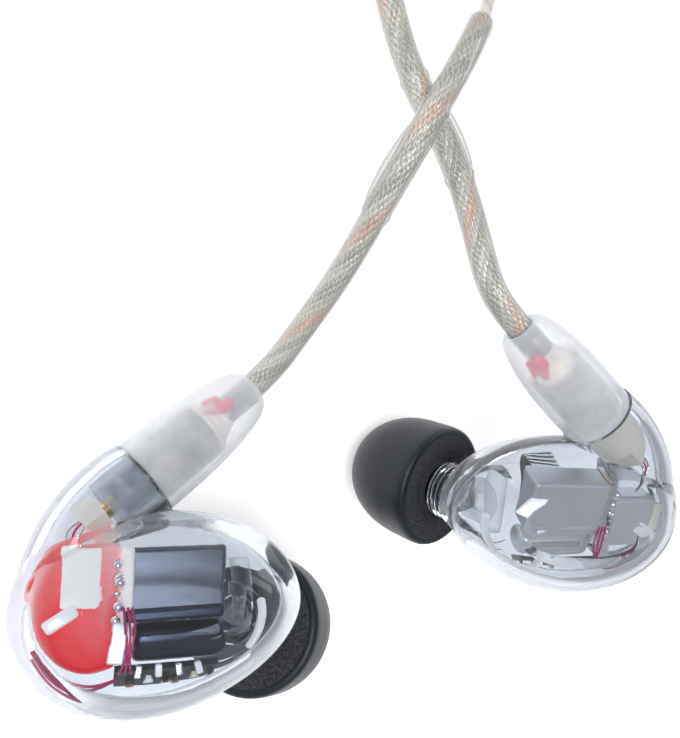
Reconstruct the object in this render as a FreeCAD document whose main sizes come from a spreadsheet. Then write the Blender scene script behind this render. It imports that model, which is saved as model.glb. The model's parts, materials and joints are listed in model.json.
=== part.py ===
import FreeCAD, Part

import math
import os

import Sketcher
from FreeCAD import Placement, Rotation, Vector

# A pair of in-ear monitors lying on a table: two clear-shelled earpieces with several balanced-armature
# drivers each, detachable swivelling cables with formed ear hooks, and the spare cable wound in a coil.
# Millimetres, +Z up from the table. The origin is on the table, at the middle of the two earpieces.

DIMENSIONS = {
    # shell
    "shell_wall": 0.9,
    "neck_wall": 1.0,
    # nozzle and tip
    "nozzle_outer": 1.55,
    "nozzle_bore": 1.0,
    "nozzle_length": 11.0,
    "collar_radius": 3.1,
    "collar_length": 2.0,
    "core_wall": 0.55,
    "core_length": 9.0,
    "tip_radius": 6.7,
    "tip_length": 11.0,
    "running_gap": 0.06,
    # drivers and electronics
    "can_depth": 2.9,
    "mid_length": 7.9,
    "mid_height": 5.4,
    "high_length": 7.1,
    "high_height": 2.6,
    "low_length": 4.6,
    "low_height": 5.2,
    "can_edge": 0.35,
    "cradle_depth": 4.2,
    "cradle_wall": 0.7,
    "board_length": 7.8,
    "board_width": 2.6,
    "board_thick": 0.5,
    "lead_radius": 0.12,
    "plate_thick": 0.25,
    "plate_pitch": 0.45,
    "plate_height": 4.4,
    # cable connector
    "socket_bore": 1.8,
    "socket_outer": 2.4,
    "socket_length": 4.0,
    "plug_nose": 1.5,
    "plug_body": 2.5,
    "plug_length": 6.2,
    "pin_radius": 0.4,
    "ring_groove": 1.25,
    "boot_radius": 3.45,
    "boot_length": 12.2,
    # cable
    "hook_radius": 1.25,
    "branch_radius": 0.65,
    "lead_cable_radius": 1.0,
    "splitter_radius": 2.1,
    "splitter_length": 12.0,
    "slider_radius": 1.9,
    "slider_length": 3.8,
    "coil_inner": 8.2,
    "coil_outer": 15.8,
    "branch_coil_height": 2.7,
    "lead_coil_height": 8.2,
    # 3.5 mm stereo plug
    "jack_radius": 1.75,
    "jack_length": 14.0,
    "handle_radius": 3.2,
    "handle_length": 12.0,
    "relief_length": 8.0,
}

# The outline of a shell in its own plane: x along the body towards the nozzle, y towards the cable.
OUTLINE = [(-11.4, 0.9), (-10.7, -2.9), (-8.0, -6.1), (-3.9, -7.8), (0.7, -7.8), (5.5, -6.2),
           (9.6, -3.3), (11.3, 0.0), (10.5, 3.2), (7.8, 5.9), (4.2, 7.4), (0.0, 7.8),
           (-4.2, 7.7), (-7.8, 6.8), (-10.4, 4.4)]
# Depth of each shell section and how far it draws in from the outline, ear side first.
SECTIONS = [(-6.0, 5.0), (-5.3, 3.2), (-3.9, 1.4), (-2.0, 0.35), (0.0, 0.0),
            (2.2, 0.35), (4.1, 1.5), (5.3, 3.2), (5.9, 5.2)]
# Centre, direction in degrees from +X and radius of the neck's sections, from the body to its mouth.
NECK = [((-6.8, 1.4), 95.0, 4.3), ((-6.35, 4.7), 80.0, 4.1), ((-4.5, 8.05), 60.0, 3.85),
        ((-1.9, 10.4), 42.0, 3.6)]
MOUTH = Vector(-1.9, 10.4, 0)
BOOT_ANGLE = 42.0
NOZZLE_ROOT = Vector(6.0, -1.5, -4.0)
NOZZLE_WAY = Vector(0.548, -0.1, -0.83)
COLLAR_START = 3.3
TIP_START = 5.6

# Where each earpiece lies: hand (-1 mirrors it), origin, then yaw, pitch and roll in degrees.
SIDES = {
    "right": {"hand": 1, "at": Vector(-17.2, -6.7, 11.8), "turn": (3.9, -21.6, -35.0)},
    "left": {"hand": -1, "at": Vector(18.4, 2.8, 23.26), "turn": (9.9, -29.9, -2.3)},
}

doc = FreeCAD.newDocument("InEarMonitors")
sheet = doc.addObject("Spreadsheet::Sheet", "Sizes")
for row, (alias, value) in enumerate(DIMENSIONS.items(), start=1):
    sheet.set("A%d" % row, alias)
    sheet.set("B%d" % row, str(value))
    sheet.setAlias("B%d" % row, alias)
doc.recompute()

nodes = []


def size(alias):
    return float(sheet.get(alias))


def amount(term):
    """The number that a term stands for: a plain number, an alias, or a list of (alias, factor)."""
    if isinstance(term, str):
        return size(term)
    if isinstance(term, list):
        return sum(size(alias) * factor if alias else factor for alias, factor in term)
    return float(term)


def formula(term):
    """The same term as an expression on the sheet."""
    if isinstance(term, str):
        return "Sizes.%s" % term
    if isinstance(term, list):
        return " + ".join(
            "Sizes.%s * %.6f" % (alias, factor) if alias else "%.6f" % factor for alias, factor in term
        )
    return "%.6f" % term


def node(obj, label, placement=None):
    """Register an object as one of the kept pieces."""
    obj.Label = label
    if placement is not None:
        obj.Placement = placement * obj.Placement
    nodes.append(obj)
    return obj


def bind(obj, **terms):
    for name, term in terms.items():
        obj.setExpression(name, formula(term))
    return obj


def primitive(kind, **terms):
    return bind(doc.addObject("Part::" + kind, kind), **terms)


def boolean(kind, first, second):
    result = doc.addObject("Part::" + kind, kind)
    result.Base = first
    result.Tool = second
    return result


def fused(pieces):
    result = doc.addObject("Part::MultiFuse", "Group")
    result.Shapes = pieces
    return result


def origin_feature(body, role):
    return next(f for f in body.Origin.OriginFeatures if f.Role == role)


def turned(label, profile, placement, angle=360.0):
    """A solid of revolution about its own Z: profile is (radius term, height term) points, all >= 0."""
    body = doc.addObject("PartDesign::Body", "Turned")
    sketch = body.newObject("Sketcher::SketchObject", "Profile")
    sketch.AttachmentSupport = (origin_feature(body, "XZ_Plane"), [""])
    sketch.MapMode = "FlatFace"
    points = [Vector(amount(r), amount(z), 0) for r, z in profile]
    for i, point in enumerate(points):
        sketch.addGeometry(Part.LineSegment(point, points[(i + 1) % len(points)]), False)
    for i in range(len(points)):
        sketch.addConstraint(Sketcher.Constraint("Coincident", i, 2, (i + 1) % len(points), 1))
    for i, (r, z) in enumerate(profile):
        for kind, term, axis in (("DistanceX", r, -2), ("DistanceY", z, -1)):
            value = amount(term)
            if value == 0:
                sketch.addConstraint(Sketcher.Constraint("PointOnObject", i, 1, axis))
                continue
            index = sketch.addConstraint(Sketcher.Constraint(kind, -1, 1, i, 1, value))
            if not isinstance(term, (int, float)):
                sketch.setExpression("Constraints[%d]" % index, formula(term))
    turn = body.newObject("PartDesign::Revolution", "Turn")
    turn.Profile = sketch
    turn.ReferenceAxis = (sketch, ["V_Axis"])
    turn.Angle = angle
    return node(body, label, placement)



def ring_profile(inner, outer, low, high):
    return [(inner, low), (outer, low), (outer, high), (inner, high)]


def block(length, width, height, centre, spin=0.0, tilt=0.0):
    """A box of the given terms centred at a point, spun about Z and tilted about its own X."""
    box = primitive("Box", Length=length, Width=width, Height=height)
    half = Vector(amount(length) / 2, amount(width) / 2, amount(height) / 2)
    turn = Rotation(Vector(0, 0, 1), spin) * Rotation(Vector(1, 0, 0), tilt)
    box.Placement = Placement(centre, turn) * Placement(half * -1, Rotation())
    return box


def soft_edged(box, radius):
    """The box with all its twelve edges rounded."""
    rounded = doc.addObject("Part::Fillet", "Rounded")
    rounded.Base = box
    rounded.Edges = [(edge, radius, radius) for edge in range(1, 13)]
    return rounded


def mirrored(point, hand):
    return Vector(point.x * hand, point.y, point.z)


def inset_points(inset, z, hand, lean):
    """The shell outline drawn in by a distance, at a depth, leaning towards the nozzle."""
    left, right = min(x for x, y in OUTLINE), max(x for x, y in OUTLINE)
    low, high = min(y for x, y in OUTLINE), max(y for x, y in OUTLINE)
    middle_x, middle_y = (left + right) / 2, (low + high) / 2
    scale_x = 1 - 2 * inset / (right - left)
    scale_y = 1 - 2 * inset / (high - low)
    return [Vector((middle_x + (x - middle_x) * scale_x + lean) * hand,
                   middle_y + (y - middle_y) * scale_y, z) for x, y in OUTLINE]


def section_wire(points):
    curve = Part.BSplineCurve()
    curve.interpolate(Points=points, PeriodicFlag=True)
    return Part.Wire([curve.toShape()])


def pillow(wall, hand):
    """The body of a shell, or with a wall its cavity."""
    wires = []
    for z, inset in SECTIONS:
        depth = z - math.copysign(wall, z) if z else 0.0
        lean = 1.6 * max(0.0, z / SECTIONS[0][0]) ** 2
        wires.append(section_wire(inset_points(inset + wall, depth, hand, lean)))
    return Part.makeLoft(wires, True, False)


def horn(wall, hand, extra):
    """The neck that sweeps from the body up to the cable socket, or with a wall its bore."""
    wires = []
    for (x, y), angle, radius in NECK:
        way = Vector(math.cos(math.radians(angle)) * hand, math.sin(math.radians(angle)), 0)
        reach = extra if (x, y) == NECK[-1][0] else 0.0
        circle = Part.makeCircle(radius - wall, Vector(x * hand, y, 0) + way * reach, way)
        wires.append(Part.Wire([circle]))
    return Part.makeLoft(wires, True, False)


def axis_placement(start, way):
    return Placement(start, Rotation(Vector(0, 0, 1), way))


def shells(side, spec, home):
    """The clamshell: an outer half with the face, and an ear-side half with the nozzle's turret."""
    hand = spec["hand"]
    way = mirrored(NOZZLE_WAY, hand).normalize()
    root = mirrored(NOZZLE_ROOT, hand)
    turret = Part.makeCone(5.0, 3.3, COLLAR_START + 2.0, root - way * 2.0, way)
    whole = pillow(0.0, hand).fuse([horn(0.0, hand, 0.0), turret])
    wall, neck_wall = size("shell_wall"), size("neck_wall")
    seat = Part.makeCylinder(size("nozzle_outer") + 0.02, 12.0, root - way * 4.0, way)
    hollow = pillow(wall, hand).fuse([horn(neck_wall, hand, 0.2), seat])
    hollow_turret = Part.makeCone(3.9, 2.3, COLLAR_START + 1.0, root - way * 2.0, way)
    shell = whole.cut(hollow.fuse(hollow_turret))
    room = 60.0
    face_side = Part.makeBox(room, room, room, Vector(-room / 2, -room / 2, 0))
    ear_side = Part.makeBox(room, room, room, Vector(-room / 2, -room / 2, -room))
    for name, half in (("outer_shell", face_side), ("inner_shell", ear_side)):
        piece = doc.addObject("Part::Feature", name)
        solids = shell.common(half).Solids
        piece.Shape = max(solids, key=lambda solid: solid.Volume)
        node(piece, "%s_%s" % (side, name), home)


def nozzle_parts(side, spec, home):
    """Nozzle, its ribbed collar, the damper in its bore, and the ear tip with its core."""
    hand = spec["hand"]
    way = mirrored(NOZZLE_WAY, hand).normalize()
    root = mirrored(NOZZLE_ROOT, hand)
    base = home * axis_placement(root, way)
    stem = [("nozzle_bore", 0), (2.2, 0), (2.2, 0.6), ("nozzle_outer", 0.6),
            ("nozzle_outer", [("nozzle_length", 1.0), ("", 2.6)]),
            ([("nozzle_outer", 1.0), ("", -0.25)], [("nozzle_length", 1.0), ("", 3.0)]),
            ("nozzle_bore", [("nozzle_length", 1.0), ("", 3.0)])]
    turned(side + "_nozzle", stem, base * Placement(Vector(0, 0, 0.2), Rotation()))
    start = COLLAR_START + 0.02
    ribs = [([("nozzle_outer", 1.0), ("", 0.02)], 0), ("collar_radius", 0)]
    for k in range(3):
        low, high = 0.3 + 0.55 * k, 0.55 + 0.55 * k
        ribs += [("collar_radius", low), ([("collar_radius", 1.0), ("", -0.25)], low + 0.02),
                 ([("collar_radius", 1.0), ("", -0.25)], high), ("collar_radius", high + 0.02)]
    ribs += [([("collar_radius", 1.0), ("", -0.15)], "collar_length"),
             ([("nozzle_outer", 1.0), ("", 0.02)], "collar_length")]
    turned(side + "_nozzle_collar", ribs, base * Placement(Vector(0, 0, start), Rotation()))
    turned(side + "_damper", ring_profile(0.35, [("nozzle_bore", 1.0), ("", -0.02)], 0, 1.6),
           base * Placement(Vector(0, 0, 9.0), Rotation()))
    tip = base * Placement(Vector(0, 0, TIP_START), Rotation())
    core_in = [("nozzle_outer", 1.0), ("running_gap", 1.0)]
    core_out = [("nozzle_outer", 1.0), ("running_gap", 1.0), ("core_wall", 1.0)]
    turned(side + "_tip_core", ring_profile(core_in, core_out, 0, "core_length"), tip)
    bullet = [(core_out, 0.8), (3.7, 0.8), (4.1, 0), ([("tip_radius", 1.0), ("", -0.35)], 0),
              ("tip_radius", 0.5), ("tip_radius", [("tip_length", 0.4)]),
              ([("tip_radius", 0.95)], [("tip_length", 0.6)]),
              ([("tip_radius", 0.82)], [("tip_length", 0.8)]),
              ([("tip_radius", 0.62)], [("tip_length", 0.93)]),
              ([("tip_radius", 0.42)], "tip_length"), ("nozzle_outer", "tip_length"),
              ("nozzle_outer", [("core_length", 1.0), ("", 0.01)]),
              (core_out, [("core_length", 1.0), ("", 0.01)])]
    turned(side + "_foam_tip", bullet, tip)


def cradle(side, hand, home):
    """The moulded D-shaped housing at the neck end that holds the low driver."""
    body = doc.addObject("PartDesign::Body", "Cradle")
    sketch = body.newObject("Sketcher::SketchObject", "Outline")
    sketch.AttachmentSupport = (origin_feature(body, "XY_Plane"), [""])
    sketch.MapMode = "FlatFace"
    bottom, heel = Vector(-3.6 * hand, -3.7, 0), Vector(-6.4 * hand, -3.9, 0)
    belly, brow = Vector(-9.4 * hand, 0.5, 0), Vector(-6.9 * hand, 4.6, 0)
    top = Vector(-3.6 * hand, 5.1, 0)
    sketch.addGeometry(Part.LineSegment(bottom, heel), False)
    sketch.addGeometry(Part.Arc(heel, belly, brow), False)
    sketch.addGeometry(Part.LineSegment(brow, top), False)
    sketch.addGeometry(Part.LineSegment(top, bottom), False)
    pad = body.newObject("PartDesign::Pad", "Pad")
    pad.Profile = sketch
    pad.setExpression("Length", formula("cradle_depth"))
    recess = body.newObject("Sketcher::SketchObject", "Recess")
    recess.AttachmentSupport = (origin_feature(body, "XY_Plane"), [""])
    recess.MapMode = "FlatFace"
    low = (size("low_length") + 0.1) / 2
    tall = (size("low_height") + 0.1) / 2
    middle = Vector(-6.2 * hand, 0.3, 0)
    corners = [middle + Vector(sx * low, sy * tall, 0) for sx, sy in ((-1, -1), (1, -1), (1, 1), (-1, 1))]
    for i in range(4):
        recess.addGeometry(Part.LineSegment(corners[i], corners[(i + 1) % 4]), False)
    doc.recompute()
    solid_volume = pad.Shape.Volume
    pocket = body.newObject("PartDesign::Pocket", "Pocket")
    pocket.Profile = recess
    pocket.Reversed = True
    pocket.setExpression("Length", "Sizes.cradle_depth - Sizes.cradle_wall")
    doc.recompute()
    if pocket.Shape.Volume > solid_volume - 1.0:
        raise RuntimeError("the cradle's recess cut nothing")
    node(body, side + "_driver_cradle", home * Placement(Vector(0, 0, -1.6), Rotation()))


def drivers(side, spec, home):
    """The driver cans, the low-pass plates, the crossover board, its parts and its wires."""
    hand = spec["hand"]

    def at(x, y, z):
        return Vector(x * hand, y, z)

    cradle(side, hand, home)
    low = block("low_length", "low_height", [("can_depth", 1.0), ("", 0.3)], at(-6.2, 0.3, 0.28))
    node(soft_edged(low, 0.3), side + "_low_driver", home)
    mid = block("mid_length", "mid_height", "can_depth", at(0.6, 2.1, 1.3), 1.0 * hand, 8.0)
    node(soft_edged(mid, size("can_edge")), side + "_mid_driver", home)
    high = block("high_length", "high_height", "can_depth", at(1.2, -2.35, 0.9), 1.0 * hand, -8.0)
    node(soft_edged(high, size("can_edge")), side + "_high_driver", home)
    plates = [block(3.0, "plate_height", "plate_thick", at(1.0, 1.5, -2.2 - k * size("plate_pitch")))
              for k in range(5)]
    node(fused(plates), side + "_filter_plates", home)
    board_turn = (at(0.3, -4.9, 0.7), 0.0, 52.0)
    node(block("board_length", "board_width", "board_thick", *board_turn), side + "_crossover_board", home)
    board_frame = Placement(board_turn[0], Rotation(Vector(1, 0, 0), board_turn[2]))
    parts = []
    for k in range(6):
        chip = block(0.9, 0.55, 0.5, Vector(0, 0, 0))
        along = (-3.1 + 1.2 * k) * hand
        lift = size("board_thick") / 2 + 0.26
        centre = board_frame.multVec(Vector(along, -0.35 + 0.5 * (k % 2), lift))
        chip.Placement = (Placement(centre, board_frame.Rotation)
                          * Placement(Vector(-0.45, -0.275, -0.25), Rotation()))
        parts.append(chip)
    node(fused(parts), side + "_board_components", home)
    wires = []
    for k in range(3):
        wire = primitive("Cylinder", Radius="lead_radius", Height=4.6)
        start, end = at(-3.2 + 0.3 * k, 0.2, 3.1), at(-3.0 + 0.3 * k, -4.4, 2.2)
        wire.Placement = axis_placement(start, end - start)
        wires.append(wire)
    node(fused(wires), side + "_driver_leads", home)
    way = mirrored(NOZZLE_WAY, hand).normalize()
    root = mirrored(NOZZLE_ROOT, hand)
    tube = [(0.5, 0), (0.9, 0), (0.9, 6.6), (0.5, 6.6)]
    turned(side + "_sound_tube", tube, home * axis_placement(root + way * 1.2, way))


def connector(side, spec, home):
    """The socket in the neck and, on the cable, the plug that turns and pulls out of it."""
    hand = spec["hand"]
    way = Vector(math.cos(math.radians(BOOT_ANGLE)) * hand, math.sin(math.radians(BOOT_ANGLE)), 0)
    mouth = home * axis_placement(mirrored(MOUTH, hand), way)

    def along(distance):
        return mouth * Placement(Vector(0, 0, distance), Rotation())

    deep = "socket_length"
    socket = [("socket_bore", [("", 0.4)]), ("socket_outer", [("", 0.4)]), ("socket_outer", deep),
              ("socket_bore", deep)]
    turned(side + "_socket_barrel", socket, along(-size(deep) - 0.15))
    turned(side + "_socket_contact", ring_profile([("pin_radius", 1.0), ("", 0.05)], 0.72, 0, 2.6),
           along(-4.1))
    insulator = block(2.8, 2.8, 1.8, Vector(0, 0, 0))
    insulator.Placement = along(-size(deep) - 1.97) * Placement(Vector(-1.4, -1.4, 0), Rotation())
    node(insulator, side + "_socket_insulator")
    nose = [(0.95, 0), ("plug_nose", 0), ("plug_nose", 0.7), ("ring_groove", 0.7), ("ring_groove", 1.2),
            ("plug_nose", 1.2), ("plug_nose", 3.1), ("plug_body", 3.1),
            ("plug_body", [("plug_length", 1.0), ("", 3.1)]), (1.9, [("plug_length", 1.0), ("", 3.1)]),
            (1.9, 4.4), (0.95, 4.4)]
    turned(side + "_plug_sleeve", nose, along(-2.8))
    pin = [(0, 0), (0.2, 0), ("pin_radius", 0.3), ("pin_radius", 4.6), (1.7, 4.62), (1.7, 7.0), (0, 7.0)]
    turned(side + "_plug_pin", pin, along(-2.7))
    ring = ring_profile([("ring_groove", 1.0), ("running_gap", 1.0)],
                        [("socket_bore", 1.0), ("running_gap", -1.0)], 0, 0.4)
    turned(side + "_lock_ring", ring, along(-2.05), 320.0)
    boot = [([("plug_body", 1.0), ("", 0.02)], 0), ("boot_radius", 0), ("boot_radius", 4.6),
            ([("boot_radius", 0.9)], 8.0), ([("boot_radius", 0.76)], 10.2),
            ([("boot_radius", 0.56)], 11.8), ([("boot_radius", 0.42)], "boot_length"),
            ("hook_radius", "boot_length"), ("hook_radius", 8.6), (1.7, 8.0), (1.7, 6.6),
            ([("plug_body", 1.0), ("", 0.02)], 6.6)]
    turned(side + "_boot", boot, along(0.2))
    return mouth


def rounded_route(points):
    """Straight runs through the points, joined by tangent arcs as large as the runs allow."""
    edges = []
    radii = []
    start = points[0]
    for i in range(1, len(points) - 1):
        before, here, after = points[i - 1], points[i], points[i + 1]
        back, ahead = before - here, after - here
        short = min(back.Length, ahead.Length)
        half_turn = (math.pi - back.getAngle(ahead)) / 2
        trim = 0.45 * short
        radius = trim / math.tan(half_turn)
        radii.append(radius)
        enter = here + back * (trim / back.Length)
        leave = here + ahead * (trim / ahead.Length)
        bisector = (back * (1 / back.Length) + ahead * (1 / ahead.Length)).normalize()
        centre = here + bisector * (radius / math.cos(half_turn))
        middle = centre - bisector * radius
        edges.append(Part.LineSegment(start, enter).toShape())
        edges.append(Part.Arc(enter, middle, leave).toShape())
        start = leave
    edges.append(Part.LineSegment(start, points[-1]).toShape())
    return Part.Wire(edges), radii


def cable_tube(label, points, radius):
    """A plain tube along a route, with its volume checked against section times length."""
    path, radii = rounded_route(points)
    circle = Part.Wire([Part.makeCircle(radius, points[0], points[1] - points[0])])
    solid = path.makePipeShell([circle], True, False, 2)
    ideal = math.pi * radius ** 2 * path.Length
    print("%s: length %.1f mm, least arc %.1f mm, volume ratio %.4f"
          % (label, path.Length, min(radii), solid.Volume / ideal))
    piece = doc.addObject("Part::Feature", label)
    piece.Shape = solid
    return node(piece, label)


# Where the cables lie. The two branches cross, the right one on top, and run on to the coil.
COIL_CENTRE = Vector(-10.0, 67.3, 0)
COIL_LIFT = 0.6
HOOK_ROUTES = {
    "right": [(-2.6, 14.7, 3.6), (-0.8, 19.8, 4.9), (-0.3, 24.6, 6.7), (0.0, 29.0, 8.3),
              (0.9, 33.1, 9.3), (2.2, 37.1, 9.6), (4.5, 41.1, 9.0), (7.4, 45.2, 7.4)],
    "left": [(6.5, 23.2, 16.8), (6.0, 26.0, 15.1), (6.0, 29.0, 12.9), (5.7, 32.1, 10.6),
             (4.8, 35.2, 8.2), (3.2, 38.3, 5.8), (1.7, 41.5, 4.0), (0.4, 44.9, 2.6)],
}
BRANCH_ROUTES = {
    "right": [(7.4, 45.2, 7.4), (9.3, 48.3, 5.9), (10.4, 52.0, 4.2), (10.1, 56.1, 2.6),
              (8.8, 60.2, 1.6), (6.9, 64.2, 1.25), (5.3, 68.4, 1.25)],
    "left": [(0.4, 44.9, 2.6), (-0.7, 47.8, 1.7), (-1.3, 51.2, 1.3), (-0.9, 54.7, 1.25),
             (0.8, 58.2, 1.25)],
}
TAIL_OFFSET = 0.8
SPLIT_WAY = Vector(-0.87, -0.5, 0).normalize()
SPLIT_START = Vector(-28.4, 77.6, 2.1)
TAIL_STARTS = {"right": (-6.1, 81.9, 2.55), "left": (-6.4, 80.6, 2.55)}
TAIL_MIDDLE = [(-10.7, 83.1, 2.5), (-14.6, 84.2, 2.4), (-18.9, 83.2, 2.18), (-23.55, 80.4, 2.12)]
LEAD_IN_ROUTE = [(-41.6, 69.6, 1.8), (-44.0, 65.2, 1.4), (-44.1, 60.2, 1.2), (-42.2, 55.6, 1.15),
                 (-38.2, 52.5, 1.3), (-33.2, 51.4, 1.8), (-27.6, 51.4, 2.8), (-22.0, 51.8, 3.6),
                 (-16.3, 51.9, 4.2), (-10.6, 52.4, 4.3)]
LEAD_OUT_ROUTE = [(-6.2, 53.0, 10.3), (-1.4, 54.3, 10.0), (3.2, 56.1, 8.6), (7.4, 58.7, 6.4),
                  (11.0, 62.1, 4.3), (13.9, 65.9, 3.2)]
PLUG_WAY = Vector(0.609, 0.793, 0).normalize()
TIE_ANGLE = 50.0


def vectors(points):
    return [Vector(*point) for point in points]


def cables(side, mouth):
    """The stiff ear-hook length out of the boot, and the thin branch from it to the coil."""
    inside = mouth.multVec(Vector(0, 0, 8.85))
    outside = mouth.multVec(Vector(0, 0, 14.2))
    hook = [inside, outside] + vectors(HOOK_ROUTES[side])
    cable_tube(side + "_hook_cable", hook, size("hook_radius"))
    cable_tube(side + "_branch_cable", vectors(BRANCH_ROUTES[side]), size("branch_radius"))


def tails():
    """The two branches leaving the coil side by side for the splitter."""
    across = Vector(-SPLIT_WAY.y, SPLIT_WAY.x, 0) * -TAIL_OFFSET
    solids = []
    for side, offset in (("right", across), ("left", across * -1)):
        points = [Vector(*TAIL_STARTS[side])]
        points += [point + offset for point in vectors(TAIL_MIDDLE)] + [SPLIT_START + offset]
        path, radii = rounded_route(points)
        circle = Part.Wire([Part.makeCircle(size("branch_radius"), points[0], points[1] - points[0])])
        solid = path.makePipeShell([circle], True, False, 2)
        print("%s tail: length %.1f mm, least arc %.1f mm" % (side, path.Length, min(radii)))
        solids.append(solid)
    piece = doc.addObject("Part::Feature", "Tails")
    piece.Shape = Part.makeCompound(solids)
    node(piece, "branch_tails")


def splitter_and_slider():
    radius, length = "splitter_radius", "splitter_length"
    frame = axis_placement(SPLIT_START + SPLIT_WAY * 0.02, SPLIT_WAY)
    nose = [(0, 0), ([(radius, 0.8)], 0), (radius, 0.5), (radius, [(length, 0.62)]),
            ([(radius, 0.62)], length), (0, length)]
    turned("y_splitter", nose, frame)
    across = Vector(-SPLIT_WAY.y, SPLIT_WAY.x, 0) * TAIL_OFFSET
    start = SPLIT_START - SPLIT_WAY * (size("slider_length") + 0.3)
    sleeve = primitive("Cylinder", Radius="slider_radius", Height="slider_length")
    sleeve.Placement = axis_placement(start, SPLIT_WAY)
    holes = []
    for sign in (-1, 1):
        hole = primitive("Cylinder", Radius=[("branch_radius", 1.0), ("running_gap", 1.5)], Height=14.0)
        hole.Placement = axis_placement(start + across * sign - SPLIT_WAY * 4, SPLIT_WAY)
        holes.append(hole)
    node(boolean("Cut", sleeve, fused(holes)), "chin_slider")


def coils():
    lift = Placement(COIL_CENTRE + Vector(0, 0, COIL_LIFT), Rotation())
    turned("branch_coil", ring_profile("coil_inner", "coil_outer", 0, "branch_coil_height"), lift)
    above = Placement(Vector(0, 0, size("branch_coil_height")), Rotation())
    turned("lead_coil", ring_profile("coil_inner", "coil_outer", 0, "lead_coil_height"), lift * above)
    total = size("branch_coil_height") + size("lead_coil_height")
    middle = (size("coil_inner") + size("coil_outer")) / 2
    band = size("coil_outer") - size("coil_inner")
    turn = Rotation(Vector(0, 0, 1), TIE_ANGLE)
    strap = primitive("Box", Length=band + 1.6, Width=4.0, Height=total + 1.1)
    gap = primitive("Box", Length=band + 0.4, Width=8.0, Height=total + 0.1)
    at = COIL_CENTRE + turn.multVec(Vector(middle, 0, 0))
    strap.Placement = Placement(at, turn) * Placement(Vector(-band / 2 - 0.8, -2.0, 0.02), Rotation())
    gap.Placement = Placement(at, turn) * Placement(Vector(-band / 2 - 0.2, -4.0, 0.55), Rotation())
    node(boolean("Cut", strap, gap), "coil_tie")


def lead():
    """The lead from the splitter into the coil, and out of it to the plug."""
    radius = size("lead_cable_radius")
    split_end = SPLIT_START + SPLIT_WAY * (size("splitter_length") + 0.02)
    solids = []
    for name, points in (("in", [split_end] + vectors(LEAD_IN_ROUTE)), ("out", vectors(LEAD_OUT_ROUTE))):
        path, radii = rounded_route(points)
        circle = Part.Wire([Part.makeCircle(radius, points[0], points[1] - points[0])])
        solids.append(path.makePipeShell([circle], True, False, 2))
        print("lead %s: length %.1f mm, least arc %.1f mm" % (name, path.Length, min(radii)))
    piece = doc.addObject("Part::Feature", "Lead")
    piece.Shape = Part.makeCompound(solids)
    node(piece, "lead_cable")


def plug():
    """A straight 3.5 mm stereo plug: strain relief and handle, three contacts and two insulating rings."""
    start = Vector(*LEAD_OUT_ROUTE[-1])
    frame = axis_placement(start, PLUG_WAY)
    relief, handle = "relief_length", "handle_length"
    outline = [(0, 0.01), (1.3, 0.01), (2.0, relief), ("handle_radius", [(relief, 1.0), ("", 1.0)]),
               ("handle_radius", [(relief, 1.0), (handle, 1.0), ("", -0.8)]),
               ([("handle_radius", 0.85)], [(relief, 1.0), (handle, 1.0)]),
               (0, [(relief, 1.0), (handle, 1.0)])]
    turned("plug_handle", outline, frame)
    jack = frame * Placement(Vector(0, 0, size(relief) + size(handle) + 0.01), Rotation())

    def barrel(low, high, top_radius=None):
        kind = "Cylinder" if top_radius is None else "Cone"
        if top_radius is None:
            piece = primitive(kind, Radius="jack_radius", Height=high - low)
        else:
            piece = primitive(kind, Radius1="jack_radius", Radius2=top_radius, Height=high - low)
        piece.Placement = jack * Placement(Vector(0, 0, low), Rotation())
        return piece

    length = size("jack_length")
    tip = fused([barrel(10.6, 12.6), barrel(12.6, length, 0.55)])
    contacts = [barrel(0, 7.6), barrel(8.2, 10.0), tip]
    node(fused(contacts), "plug_contacts")
    node(fused([barrel(7.6, 8.2), barrel(10.0, 10.6)]), "plug_insulators")


for side, spec in SIDES.items():
    home = Placement(spec["at"], Rotation(*spec["turn"]))
    shells(side, spec, home)
    nozzle_parts(side, spec, home)
    drivers(side, spec, home)
    cables(side, connector(side, spec, home))
tails()
splitter_and_slider()
coils()
lead()
plug()
doc.recompute()

for obj in doc.Objects:
    if "Invalid" in obj.State or "Error" in obj.State:
        raise RuntimeError("%s (%s) failed: %s" % (obj.Label, obj.Name, obj.State))
os.makedirs("parts", exist_ok=True)
for obj in nodes:
    shape = obj.Shape
    if shape.isNull() or not shape.isValid() or not shape.Solids:
        raise RuntimeError(obj.Label + " has no valid solid")
    shape.exportStep(os.path.join("parts", obj.Label + ".step"))
print("%d nodes written" % len(nodes))
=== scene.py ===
import json
import math

import bmesh
import bpy
from mathutils import Matrix, Vector


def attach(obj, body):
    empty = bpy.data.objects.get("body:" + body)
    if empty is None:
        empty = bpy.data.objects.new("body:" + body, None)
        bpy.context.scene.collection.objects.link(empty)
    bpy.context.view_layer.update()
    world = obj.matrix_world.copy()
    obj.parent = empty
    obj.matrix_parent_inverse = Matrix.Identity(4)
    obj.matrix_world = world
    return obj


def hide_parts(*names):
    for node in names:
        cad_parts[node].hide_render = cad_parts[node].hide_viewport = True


# A pair of clear-shelled in-ear monitors with foam tips, their swivelling cables crossing each other.
# Metres, +Z up, but shapes are given in millimetres, in the frame of the piece that they belong to.
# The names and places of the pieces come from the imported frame.

MM = 0.001
BOOT_ANGLE = math.radians(42)
MOUTH = Vector((-1.9, 10.4, 0))
NOZZLE_ROOT = Vector((6.0, -1.5, -4.0))
NOZZLE_WAY = Vector((0.548, -0.1, -0.83)).normalized()
SIDES = {"right": 1, "left": -1}

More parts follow.
